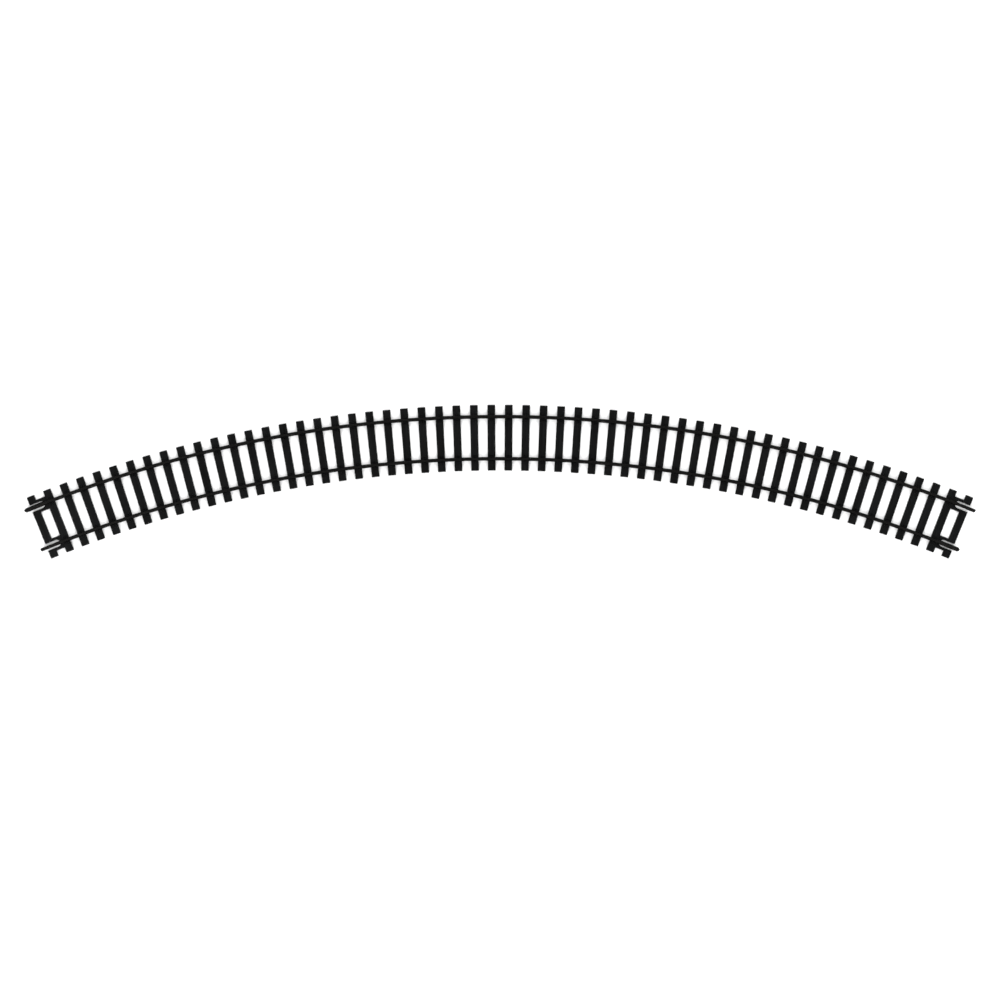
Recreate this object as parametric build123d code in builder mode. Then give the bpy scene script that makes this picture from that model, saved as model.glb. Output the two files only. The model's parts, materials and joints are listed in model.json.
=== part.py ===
from build123d import *
import os
from math import cos, radians, sin

# A curved section of sectional model railway track for 16.5 mm gauge: a one-piece moulded sleeper
# base, two code 100 rails threaded through its chairs, and one folded rail joiner on each end.
# +X runs along the chord of the curve, +Y points to its outer side and +Z is up.
# The origin is at the centre of the bounding box, on the surface that the sleepers stand on.
# Lengths are in millimetres and angles in degrees.

# ---- Driving dimensions: the curve ----
RADIUS = 505.0  # centre of the curve to the track's centre line
SWEEP = 45.0  # between the two rail joints, eight sections to a full circle
GAUGE = 16.5  # between the inner faces of the rail heads

# ---- Driving dimensions: the sleepers ----
SLEEPER_COUNT = 56
END_ANGLE = 0.46  # from a rail joint to the centre of the end sleeper
SLEEPER_LENGTH = 27.2
SLEEPER_WIDTH = 3.2
SLEEPER_HEIGHT = 1.7
SLEEPER_EDGE = 0.1  # chamfer round the top of a sleeper
SEAT_HEIGHT = 1.85  # underside of the rail above the surface
WEB_WIDTH = 1.5  # strips under the rails that tie the sleepers together
WEB_HEIGHT = 1.2
END_SLEEPERS = 2  # sleepers in the solid at each end of the base
BASE_STRETCHES = 4  # equal solids between them, end to end, so that collision hulls follow the curve
PIN_SLEEPERS = (2, 18, 37, 53)  # sleepers, counted from the left end, with a hole for a track pin
PIN_RADIUS = 0.55
PIN_DEPTH = 1.35  # blind: a thin skin is left on top

# ---- Driving dimensions: the rail section ----
RAIL_HEIGHT = 2.54
HEAD_WIDTH = 0.95
HEAD_DEPTH = 0.62
HEAD_ROUND = 0.14
HEAD_FLARE = 0.14  # height over which the web widens into the head
WEB_THICKNESS = 0.46
FOOT_WIDTH = 1.44
FOOT_EDGE = 0.28  # thickness of the foot at its edge
FOOT_RISE = 0.2  # slope of the foot's top, from edge to web
RAIL_PIECES = 9  # equal solids end to end, so that collision hulls follow the curve

# ---- Driving dimensions: the chairs ----
CHAIR_LENGTH = 4.7  # across the rail
CHAIR_WIDTH = 2.3  # along the rail
JAW_WIDTH = 1.3
JAW_FOOT = 0.72  # how far a jaw stands out from the rail's foot
JAW_HEIGHT = 0.78
JAW_LIP = 0.2  # overhang on the rail's foot
JAW_SHOULDER = 0.34  # height of a jaw's outer face, below its slope
FIT_GAP = 0.03  # between the rail's foot and a jaw
BOLT_RADIUS = 0.27
BOLT_HEIGHT = 0.22
BOLT_INSET = 0.4  # bolt centre from the end of the chair
CORE_WIDTH = 0.44  # moulding hole that forms the underside of a jaw's lip
CORE_LENGTH = 1.0

# ---- Driving dimensions: the slots for rail joiners at both ends ----
SLOT_WIDTH = 3.05
SLOT_DEPTH = 6.0  # from the end sleeper's outer face to the bottom of the round end
SLOT_TOE = 0.1  # each slot sits this much nearer the track's centre line than its rail
ARM_WIDTH = 1.2  # strip on each side of a slot
ARM_HEIGHT = 1.3

# ---- Driving dimensions: the rail joiners ----
JOINER_LENGTH = 8.0
JOINER_SHEET = 0.14
JOINER_GAP = 0.03  # between the joiner and the rail's foot
JOINER_INSET = 0.4  # outer end of a stowed joiner to the rail's end
JOINER_LIP_GAP = 0.12  # between a lip's tip and the rail's web
JOINER_CORNER = 0.07  # outside of a fold
JOINER_MOUTH = 0.25  # bevel on the lips at both mouths

# ---- Derived places ----
RAIL_OFFSET = (GAUGE + HEAD_WIDTH) / 2
OUTER_RADIUS = RADIUS + RAIL_OFFSET
INNER_RADIUS = RADIUS - RAIL_OFFSET
FOOT_HALF = FOOT_WIDTH / 2
HALF_WIDTH = SLEEPER_WIDTH / 2
LAST_SLEEPER = SLEEPER_COUNT - 1
END_SLEEPER_ANGLE = SWEEP / 2 - END_ANGLE
PITCH = 2 * END_SLEEPER_ANGLE / LAST_SLEEPER

# The bounding box runs in Y from the inner corner of an end sleeper to the outer tip beside the middle.
LOW_REACH = (RADIUS - SLEEPER_LENGTH / 2) * cos(radians(END_SLEEPER_ANGLE)) - HALF_WIDTH * sin(
    radians(END_SLEEPER_ANGLE)
)
HIGH_REACH = (RADIUS + SLEEPER_LENGTH / 2) * cos(radians(PITCH / 2)) + HALF_WIDTH * sin(radians(PITCH / 2))
CENTRE_Y = -(LOW_REACH + HIGH_REACH) / 2

CURVE_AXIS = Axis((0, CENTRE_Y, 0), (0, 0, -1))


def cross_plane(angle):
    """A vertical plane across the track at an angle from the middle, positive towards +X.

    Its x is the distance from the curve's centre, its y is height and its z runs along the track.
    """
    outward = (sin(radians(angle)), cos(radians(angle)), 0)
    along = (cos(radians(angle)), -sin(radians(angle)), 0)
    return Plane(origin=(0, CENTRE_Y, 0), x_dir=outward, z_dir=along)


def plan_place(angle, radius=RADIUS, height=0.0):
    """A horizontal place on the track, with x outward along the radius and z up."""
    outward = (sin(radians(angle)), cos(radians(angle)), 0)
    origin = (radius * outward[0], CENTRE_Y + radius * outward[1], height)
    return Plane(origin=origin, x_dir=outward, z_dir=(0, 0, 1))


def sleeper_angle(index):
    return -END_SLEEPER_ANGLE + index * PITCH


def save(piece, name):
    piece.label = name
    export_step(piece, f"parts/{name}.step")


# ---- Sleepers: one plain sleeper, one with both chairs, both about the track's centre line ----
def make_sleeper():
    with BuildPart() as sleeper:
        with BuildSketch():
            Rectangle(SLEEPER_LENGTH, SLEEPER_WIDTH)
        extrude(amount=SLEEPER_HEIGHT)
        chamfer(sleeper.faces().sort_by(Axis.Z)[-1].edges(), SLEEPER_EDGE)
    return sleeper.part


def jaw_outline(side):
    """Section of a chair's jaw, from the sleeper up and over the edge of the rail's foot."""
    inner = FOOT_HALF + FIT_GAP
    under_lip = FOOT_EDGE + FOOT_RISE * JAW_LIP + 2 * FIT_GAP
    points = [
        (inner, 0),
        (inner, under_lip),
        (FOOT_HALF - JAW_LIP, under_lip + FIT_GAP),
        (FOOT_HALF - JAW_LIP, JAW_HEIGHT - JAW_LIP),
        (inner, JAW_HEIGHT),
        (inner + JAW_FOOT / 2, JAW_HEIGHT),
        (inner + JAW_FOOT, JAW_SHOULDER),
        (inner + JAW_FOOT, 0),
    ]
    return [(side * x, z) for x, z in points]


def make_chaired_sleeper():
    plain = make_sleeper()
    rail_places = [(-RAIL_OFFSET, 0), (RAIL_OFFSET, 0)]
    with BuildPart() as sleeper:
        add(plain)
        with BuildSketch(Plane.XY.offset(SLEEPER_HEIGHT / 2)):
            with Locations(*rail_places):
                Rectangle(CHAIR_LENGTH, CHAIR_WIDTH)
        extrude(amount=SEAT_HEIGHT - SLEEPER_HEIGHT / 2)
        for x, _ in rail_places:
            seat = Plane(origin=(x, 0, SEAT_HEIGHT), x_dir=(1, 0, 0), z_dir=(0, -1, 0))
            for side in (-1, 1):
                with BuildSketch(seat):
                    with BuildLine():
                        Polyline(*jaw_outline(side), close=True)
                    make_face()
                extrude(amount=JAW_WIDTH / 2, both=True)
        bolt_reach = CHAIR_LENGTH / 2 - BOLT_INSET
        core_reach = FOOT_HALF - CORE_WIDTH / 2 + FIT_GAP
        with BuildSketch(Plane.XY.offset(SEAT_HEIGHT)):
            with Locations(*rail_places):
                with GridLocations(2 * bolt_reach, 0, 2, 1):
                    RegularPolygon(BOLT_RADIUS, 6)
        extrude(amount=BOLT_HEIGHT)
        with BuildSketch(Plane.XY):
            with Locations(*rail_places):
                with GridLocations(2 * core_reach, 0, 2, 1):
                    Rectangle(CORE_WIDTH, CORE_LENGTH)
        extrude(amount=SEAT_HEIGHT, mode=Mode.SUBTRACT)
    return sleeper.part


# ---- Sleeper base: every sleeper, the webs under the rails, and the slotted ends ----
def make_pinned_sleeper(chaired):
    with BuildPart() as sleeper:
        add(chaired)
        with BuildSketch():
            Circle(PIN_RADIUS)
        extrude(amount=PIN_DEPTH, mode=Mode.SUBTRACT)
    return sleeper.part


def make_end_bay(index, inward):
    """An end sleeper and the plate round each slot, which leaves an arm on both sides of it."""
    centre_to_root = SLOT_DEPTH - HALF_WIDTH - SLOT_WIDTH / 2  # to the centre of the slot's round end
    with BuildPart() as bay:
        add(make_sleeper().moved(plan_place(sleeper_angle(index)).location))
        for radius in (OUTER_RADIUS - SLOT_TOE, INNER_RADIUS + SLOT_TOE):
            with BuildSketch(plan_place(sleeper_angle(index + inward / 2), radius)):
                Rectangle(SLOT_WIDTH + 2 * ARM_WIDTH, radians(PITCH) * radius)
            extrude(amount=ARM_HEIGHT)
            with BuildSketch(plan_place(sleeper_angle(index), radius)):
                with Locations((0, inward * (HALF_WIDTH - centre_to_root / 2))):
                    Rectangle(SLOT_WIDTH, centre_to_root + 2 * HALF_WIDTH)
                with Locations((0, -inward * centre_to_root)):
                    Circle(SLOT_WIDTH / 2)
            extrude(amount=SLEEPER_HEIGHT, mode=Mode.SUBTRACT)
    return bay.part


def make_stretch(sleepers, chaired, pinned):
    """Neighbouring sleepers, with the webs running to halfway towards the sleepers on either side."""
    bodies = []
    for index in sleepers:
        if index in (0, LAST_SLEEPER):
            bodies.append(make_end_bay(index, 1 if index == 0 else -1))
        else:
            sleeper = pinned if index in PIN_SLEEPERS else chaired
            bodies.append(sleeper.moved(plan_place(sleeper_angle(index)).location))
    # No web reaches an end sleeper, whose slotted plates tie it to its neighbour.
    web_start = max(sleepers[0] - 0.5, 1)
    web_end = min(sleepers[-1] + 0.5, LAST_SLEEPER - 1)
    with BuildPart() as stretch:
        with BuildSketch(cross_plane(sleeper_angle(web_start))):
            with Locations((OUTER_RADIUS, WEB_HEIGHT / 2), (INNER_RADIUS, WEB_HEIGHT / 2)):
                Rectangle(WEB_WIDTH, WEB_HEIGHT)
        revolve(axis=CURVE_AXIS, revolution_arc=(web_end - web_start) * PITCH)
        add(bodies)
    return stretch.part.solid()


def make_sleeper_base():
    chaired = make_chaired_sleeper()
    pinned = make_pinned_sleeper(chaired)
    stretch_length = (SLEEPER_COUNT - 2 * END_SLEEPERS) // BASE_STRETCHES
    middle_starts = range(END_SLEEPERS, SLEEPER_COUNT - END_SLEEPERS, stretch_length)
    starts = [0, *middle_starts, SLEEPER_COUNT - END_SLEEPERS, SLEEPER_COUNT]
    return Compound([make_stretch(range(a, b), chaired, pinned) for a, b in zip(starts, starts[1:])])


# ---- Rails: the section swept round the curve ----
def make_rail(radius):
    web_half, head_half = WEB_THICKNESS / 2, HEAD_WIDTH / 2
    head_base = RAIL_HEIGHT - HEAD_DEPTH
    half = [
        (0, 0),
        (FOOT_HALF, 0),
        (FOOT_HALF, FOOT_EDGE),
        (web_half, FOOT_EDGE + FOOT_RISE),
        (web_half, head_base - HEAD_FLARE),
        (head_half, head_base),
        (head_half, RAIL_HEIGHT),
        (0, RAIL_HEIGHT),
    ]
    right = [(radius + x, SEAT_HEIGHT + z) for x, z in half]
    left = [(radius - x, SEAT_HEIGHT + z) for x, z in reversed(half[1:-1])]
    piece_sweep = SWEEP / RAIL_PIECES
    with BuildPart() as piece:
        with BuildSketch(cross_plane(-SWEEP / 2)) as section:
            with BuildLine():
                Polyline(*right, *left, close=True)
            make_face()
            fillet(section.vertices().group_by(Axis.Z)[-1], HEAD_ROUND)
        revolve(axis=CURVE_AXIS, revolution_arc=piece_sweep)
    return Compound([piece.part.rotate(CURVE_AXIS, i * piece_sweep).solid() for i in range(RAIL_PIECES)])


# ---- Rail joiners: a strip folded round the rail's foot, stowed fully on the rail ----
def joiner_angle(radius):
    """Angle of a stowed joiner's middle, from the middle of the section."""
    return SWEEP / 2 - (JOINER_INSET + JOINER_LENGTH / 2) / radians(1) / radius


def make_joiner(radius, side):
    inner_x, outer_x = FOOT_HALF + JOINER_GAP, FOOT_HALF + JOINER_GAP + JOINER_SHEET
    floor_top, floor_bottom = -JOINER_GAP, -JOINER_GAP - JOINER_SHEET
    lip_tip = WEB_THICKNESS / 2 + JOINER_LIP_GAP
    lip_start = FOOT_EDGE + JOINER_GAP
    lip_end = lip_start + FOOT_RISE
    half = [
        (0, floor_bottom),
        (outer_x - JOINER_CORNER, floor_bottom),
        (outer_x, floor_bottom + JOINER_CORNER),
        (outer_x, lip_start + JOINER_CORNER),
        (outer_x - JOINER_CORNER, lip_start + JOINER_SHEET),
        (lip_tip, lip_end + JOINER_SHEET),
        (lip_tip, lip_end),
        (inner_x, lip_start),
        (inner_x, floor_top),
        (0, floor_top),
    ]
    right = [(radius + x, SEAT_HEIGHT + z) for x, z in half]
    left = [(radius - x, SEAT_HEIGHT + z) for x, z in reversed(half[1:-1])]
    angle = side * joiner_angle(radius)
    with BuildPart() as joiner:
        with BuildSketch(cross_plane(angle)):
            with BuildLine():
                Polyline(*right, *left, close=True)
            make_face()
        extrude(amount=JOINER_LENGTH / 2, both=True)
        tips = joiner.edges().filter_by(Axis.Z).filter_by(lambda edge: edge.center().Z > SEAT_HEIGHT + lip_start)
        chamfer(tips, JOINER_MOUTH)
    return joiner.part


os.makedirs("parts", exist_ok=True)
save(make_sleeper_base(), "sleeper_base")
save(make_rail(OUTER_RADIUS), "outer_rail")
save(make_rail(INNER_RADIUS), "inner_rail")
save(make_joiner(OUTER_RADIUS, -1), "left_rail_joiner")
save(make_joiner(INNER_RADIUS, 1), "right_rail_joiner")
print("curve centre y", round(CENTRE_Y, 4), "sleeper pitch", round(PITCH, 4))
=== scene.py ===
"""Looks of a curved model railway track section, on a pale studio floor and seen from straight above."""

import json
import math

import bpy
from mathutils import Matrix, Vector


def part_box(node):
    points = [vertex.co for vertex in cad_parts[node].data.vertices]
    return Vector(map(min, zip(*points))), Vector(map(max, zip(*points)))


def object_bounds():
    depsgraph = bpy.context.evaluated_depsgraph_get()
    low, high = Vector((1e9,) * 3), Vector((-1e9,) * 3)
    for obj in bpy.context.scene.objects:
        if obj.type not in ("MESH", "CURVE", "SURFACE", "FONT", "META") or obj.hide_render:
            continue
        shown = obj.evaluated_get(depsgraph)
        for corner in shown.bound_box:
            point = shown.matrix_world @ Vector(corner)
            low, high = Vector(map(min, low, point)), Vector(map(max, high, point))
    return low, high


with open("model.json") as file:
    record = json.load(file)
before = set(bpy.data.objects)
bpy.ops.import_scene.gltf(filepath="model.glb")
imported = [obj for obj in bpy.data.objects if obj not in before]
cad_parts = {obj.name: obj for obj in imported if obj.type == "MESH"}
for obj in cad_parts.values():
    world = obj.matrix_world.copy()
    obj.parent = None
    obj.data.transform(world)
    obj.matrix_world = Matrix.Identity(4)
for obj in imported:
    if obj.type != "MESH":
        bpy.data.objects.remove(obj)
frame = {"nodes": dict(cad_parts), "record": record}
cad_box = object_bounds()

# ---- Places, from the frame: the curve's centre and radius follow from the rail ends at the right ----
MOUNTS = {mount["name"]: mount for mount in frame["record"]["mounts"]}


def rail_circle(mount_name):
    """Centre's Y and radius of the circle that a rail's end is on, with the centre at X = 0."""
    (x, y, _), (along_x, along_y, _) = MOUNTS[mount_name]["pos_m"], MOUNTS[mount_name]["axis"]
    radius = x / -along_y
    return y - radius * along_x, radius


CENTRE_Y, OUTER_RADIUS = rail_circle("right_outer_rail_end")
INNER_RADIUS = rail_circle("right_inner_rail_end")[1]
RADIUS = (OUTER_RADIUS + INNER_RADIUS) / 2
RAIL_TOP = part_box("outer_rail")[1].z
LOW, HIGH = cad_box
MIDDLE = (LOW + HIGH) / 2
WIDTH = HIGH.x - LOW.x


# ---- Node helpers ----
class Nodes:
    """The node tree of a material or of the world, with a short way to add and link nodes."""

    def __init__(self, owner):
        owner.use_nodes = True
        self.tree = owner.node_tree
        self.tree.nodes.clear()

    def add(self, kind, inputs=None, **settings):
        node = self.tree.nodes.new(kind)
        for name, value in settings.items():
            setattr(node, name, value)
        for name, value in (inputs or {}).items():
            socket = node.inputs[name]
            if isinstance(value, bpy.types.NodeSocket):
                self.tree.links.new(value, socket)
            else:
                socket.default_value = value
        return node

    def math(self, operation, first, second=0.0):
        return self.add("ShaderNodeMath", {0: first, 1: second}, operation=operation).outputs[0]

    def remap(self, value, from_low, from_high, to_low, to_high):
        inputs = {
            "Value": value,
            "From Min": from_low,
            "From Max": from_high,
            "To Min": to_low,
            "To Max": to_high,
        }
        return self.add("ShaderNodeMapRange", inputs).outputs["Result"]

    def noise(self, vector, scale, detail=4.0, roughness=0.55):
        inputs = {"Vector": vector, "Scale": scale, "Detail": detail, "Roughness": roughness}
        return self.add("ShaderNodeTexNoise", inputs).outputs["Fac"]

    def mix_colour(self, factor, first, second):
        node = self.add("ShaderNodeMix", data_type="RGBA")
        self.tree.links.new(factor, node.inputs[0])
        node.inputs[6].default_value = first
        node.inputs[7].default_value = second
        return node.outputs[2]

    def track_coordinates(self):
        """Distance across the track from its centre line, along it, and height, in metres."""
        place = self.add("ShaderNodeTexCoord").outputs["Object"]
        from_centre = self.add("ShaderNodeVectorMath", {0: place, 1: (0, CENTRE_Y, 0)}, operation="SUBTRACT")
        split = self.add("ShaderNodeSeparateXYZ", {0: from_centre.outputs[0]})
        x, y, height = split.outputs
        radius = self.math("SQRT", self.math("ADD", self.math("MULTIPLY", x, x), self.math("MULTIPLY", y, y)))
        across = self.math("SUBTRACT", radius, RADIUS)
        along = self.math("MULTIPLY", self.math("ARCTAN2", x, y), RADIUS)
        return across, along, height

    def stretched(self, across, along, height, scales):
        """Track coordinates for a noise texture, by its features per metre across, along and up."""
        parts = [self.math("MULTIPLY", value, scale) for value, scale in zip((across, along, height), scales)]
        return self.add("ShaderNodeCombineXYZ", {0: parts[0], 1: parts[1], 2: parts[2]}).outputs[0]

    def finish(self, shader):
        self.add("ShaderNodeOutputMaterial", {"Surface": shader.outputs["BSDF"]})


def grey(value, warmth=0.0):
    return (value * (1 + warmth), value, value * (1 - warmth), 1)


# ---- Materials ----
def moulded_plastic():
    """Black moulding with wood grain along every sleeper and a fine matt texture."""
    material = bpy.data.materials.new("moulded_sleeper_plastic")
    nodes = Nodes(material)
    across, along, height = nodes.track_coordinates()
    grain = nodes.noise(nodes.stretched(across, along, height, (90, 2600, 900)), 1.0, detail=5)
    matt = nodes.noise(nodes.stretched(across, along, height, (5200, 5200, 5200)), 1.0, detail=2)
    cloud = nodes.noise(nodes.stretched(across, along, height, (60, 60, 60)), 1.0, detail=3)
    relief = nodes.math("ADD", nodes.math("MULTIPLY", grain, 0.7), nodes.math("MULTIPLY", matt, 0.3))
    bump = nodes.add("ShaderNodeBump", {"Height": relief, "Strength": 0.6, "Distance": 0.00008})
    tone = nodes.math("ADD", nodes.math("MULTIPLY", grain, 0.6), nodes.math("MULTIPLY", cloud, 0.4))
    colour = nodes.mix_colour(nodes.remap(tone, 0.38, 0.62, 0, 1), grey(0.0003, -0.06), grey(0.0036, -0.06))
    shader = nodes.add(
        "ShaderNodeBsdfPrincipled",
        {
            "Base Color": colour,
            "Roughness": nodes.remap(matt, 0.3, 0.7, 0.26, 0.42),
            "Specular IOR Level": 0.045,
            "Normal": bump.outputs["Normal"],
        },
    )
    nodes.finish(shader)
    return material


def blackened_rail():
    """Blackened drawn metal: fine draw lines along the rail and a rubbed running surface."""
    material = bpy.data.materials.new("blackened_rail")
    nodes = Nodes(material)
    across, along, height = nodes.track_coordinates()
    lines = nodes.noise(nodes.stretched(across, along, height, (16000, 120, 16000)), 1.0, detail=3)
    patches = nodes.noise(nodes.stretched(across, along, height, (700, 220, 700)), 1.0, detail=5)
    running = nodes.remap(height, RAIL_TOP - 0.00012, RAIL_TOP - 0.00002, 0, 1)
    rubbed = nodes.math("MULTIPLY", running, nodes.remap(patches, 0.3, 0.6, 0.5, 1))
    bump = nodes.add("ShaderNodeBump", {"Height": lines, "Strength": 0.25, "Distance": 0.00002})
    colour = nodes.mix_colour(rubbed, grey(0.003, 0.05), grey(0.007, 0.03))
    shader = nodes.add(
        "ShaderNodeBsdfPrincipled",
        {
            "Base Color": colour,
            "Metallic": 1.0,
            "Roughness": nodes.remap(rubbed, 0, 1, 0.45, 0.27),
            "Normal": bump.outputs["Normal"],
        },
    )
    nodes.finish(shader)
    return material


def blackened_sheet():
    """Blackened folded sheet, a little browner and more worn than the rail."""
    material = bpy.data.materials.new("blackened_sheet")
    nodes = Nodes(material)
    across, along, height = nodes.track_coordinates()
    scuffs = nodes.noise(nodes.stretched(across, along, height, (5000, 900, 5000)), 1.0, detail=4)
    bump = nodes.add("ShaderNodeBump", {"Height": scuffs, "Strength": 0.3, "Distance": 0.00002})
    colour = nodes.mix_colour(nodes.remap(scuffs, 0.35, 0.7, 0, 1), grey(0.004, 0.08), grey(0.009, 0.08))
    shader = nodes.add(
        "ShaderNodeBsdfPrincipled",
        {
            "Base Color": colour,
            "Metallic": 1.0,
            "Roughness": nodes.remap(scuffs, 0.3, 0.7, 0.34, 0.5),
            "Normal": bump.outputs["Normal"],
        },
    )
    nodes.finish(shader)
    return material


def studio_floor():
    material = bpy.data.materials.new("studio_floor")
    nodes = Nodes(material)
    place = nodes.add("ShaderNodeTexCoord").outputs["Object"]
    tone = nodes.noise(place, 14.0)
    colour = nodes.mix_colour(tone, grey(0.84), grey(0.88))
    shader = nodes.add(
        "ShaderNodeBsdfPrincipled", {"Base Color": colour, "Roughness": 0.9, "Specular IOR Level": 0.1}
    )
    nodes.finish(shader)
    return material


FINISHES = {
    "sleeper_base": moulded_plastic(),
    "outer_rail": blackened_rail(),
    "left_rail_joiner": blackened_sheet(),
}
FINISHES["inner_rail"] = FINISHES["outer_rail"]
FINISHES["right_rail_joiner"] = FINISHES["left_rail_joiner"]
for name, material in FINISHES.items():
    for slot in frame["nodes"][name].material_slots:
        slot.material = material


# ---- Floor, world and lights ----
FLOOR_SIDE = 60 * WIDTH
bpy.ops.mesh.primitive_plane_add(size=FLOOR_SIDE, location=(MIDDLE.x, MIDDLE.y, LOW.z))
floor = bpy.context.object
floor.name = "floor"
floor.data.materials.append(studio_floor())

ZENITH, HORIZON = 0.5, 0.7  # brightness of the sky overhead and low down
LOW_SKY, HIGH_SKY = 0.15, 0.95  # sines of the elevations between which it changes
world = bpy.data.worlds.new("studio")
bpy.context.scene.world = world
sky = Nodes(world)
direction = sky.add("ShaderNodeSeparateXYZ", {0: sky.add("ShaderNodeTexCoord").outputs["Generated"]})
strength = sky.remap(direction.outputs["Z"], LOW_SKY, HIGH_SKY, HORIZON, ZENITH)
background = sky.add("ShaderNodeBackground", {"Color": (1, 1, 1, 1), "Strength": strength})
sky.add("ShaderNodeOutputWorld", {"Surface": background.outputs[0]})


LIGHT_DISTANCE = 4.0  # in widths of the object


def area_light(name, azimuth, elevation, size, power):
    """A square soft light that faces the object from an azimuth and elevation, in degrees.

    Its size is in widths of the object, and its power in watts for each square of that width.
    """
    turn, lift = math.radians(azimuth), math.radians(elevation)
    away = Vector((math.sin(turn) * math.cos(lift), -math.cos(turn) * math.cos(lift), math.sin(lift)))
    light = bpy.data.lights.new(name, "AREA")
    light.size = size * WIDTH
    light.energy = power * WIDTH**2
    lamp = bpy.data.objects.new(name, light)
    lamp.location = MIDDLE + away * LIGHT_DISTANCE * WIDTH
    lamp.rotation_euler = (-away).to_track_quat("-Z", "Y").to_euler()
    bpy.context.collection.objects.link(lamp)


area_light("key", -40, 60, 2.6, 112)
area_light("fill", 60, 56, 3.0, 76)
area_light("back", 175, 56, 3.0, 122)


# ---- Camera: straight down, with the object's middle a little above the picture's middle ----
LENS_MM, SENSOR_MM = 120, 36
OBJECT_SHARE = 0.9525  # of the picture's width
RAISED = 0.0183  # of the picture's width
picture_width = WIDTH / OBJECT_SHARE
camera_data = bpy.data.cameras.new("camera")
camera_data.lens = LENS_MM
camera_data.sensor_width = SENSOR_MM
camera_data.clip_start = 0.01
camera_data.clip_end = FLOOR_SIDE
camera = bpy.data.objects.new("camera", camera_data)
distance = picture_width * LENS_MM / SENSOR_MM
camera.location = (MIDDLE.x, MIDDLE.y - RAISED * picture_width, HIGH.z + distance)
bpy.context.collection.objects.link(camera)
bpy.context.scene.camera = camera

bpy.context.scene.view_settings.view_transform = "Standard"
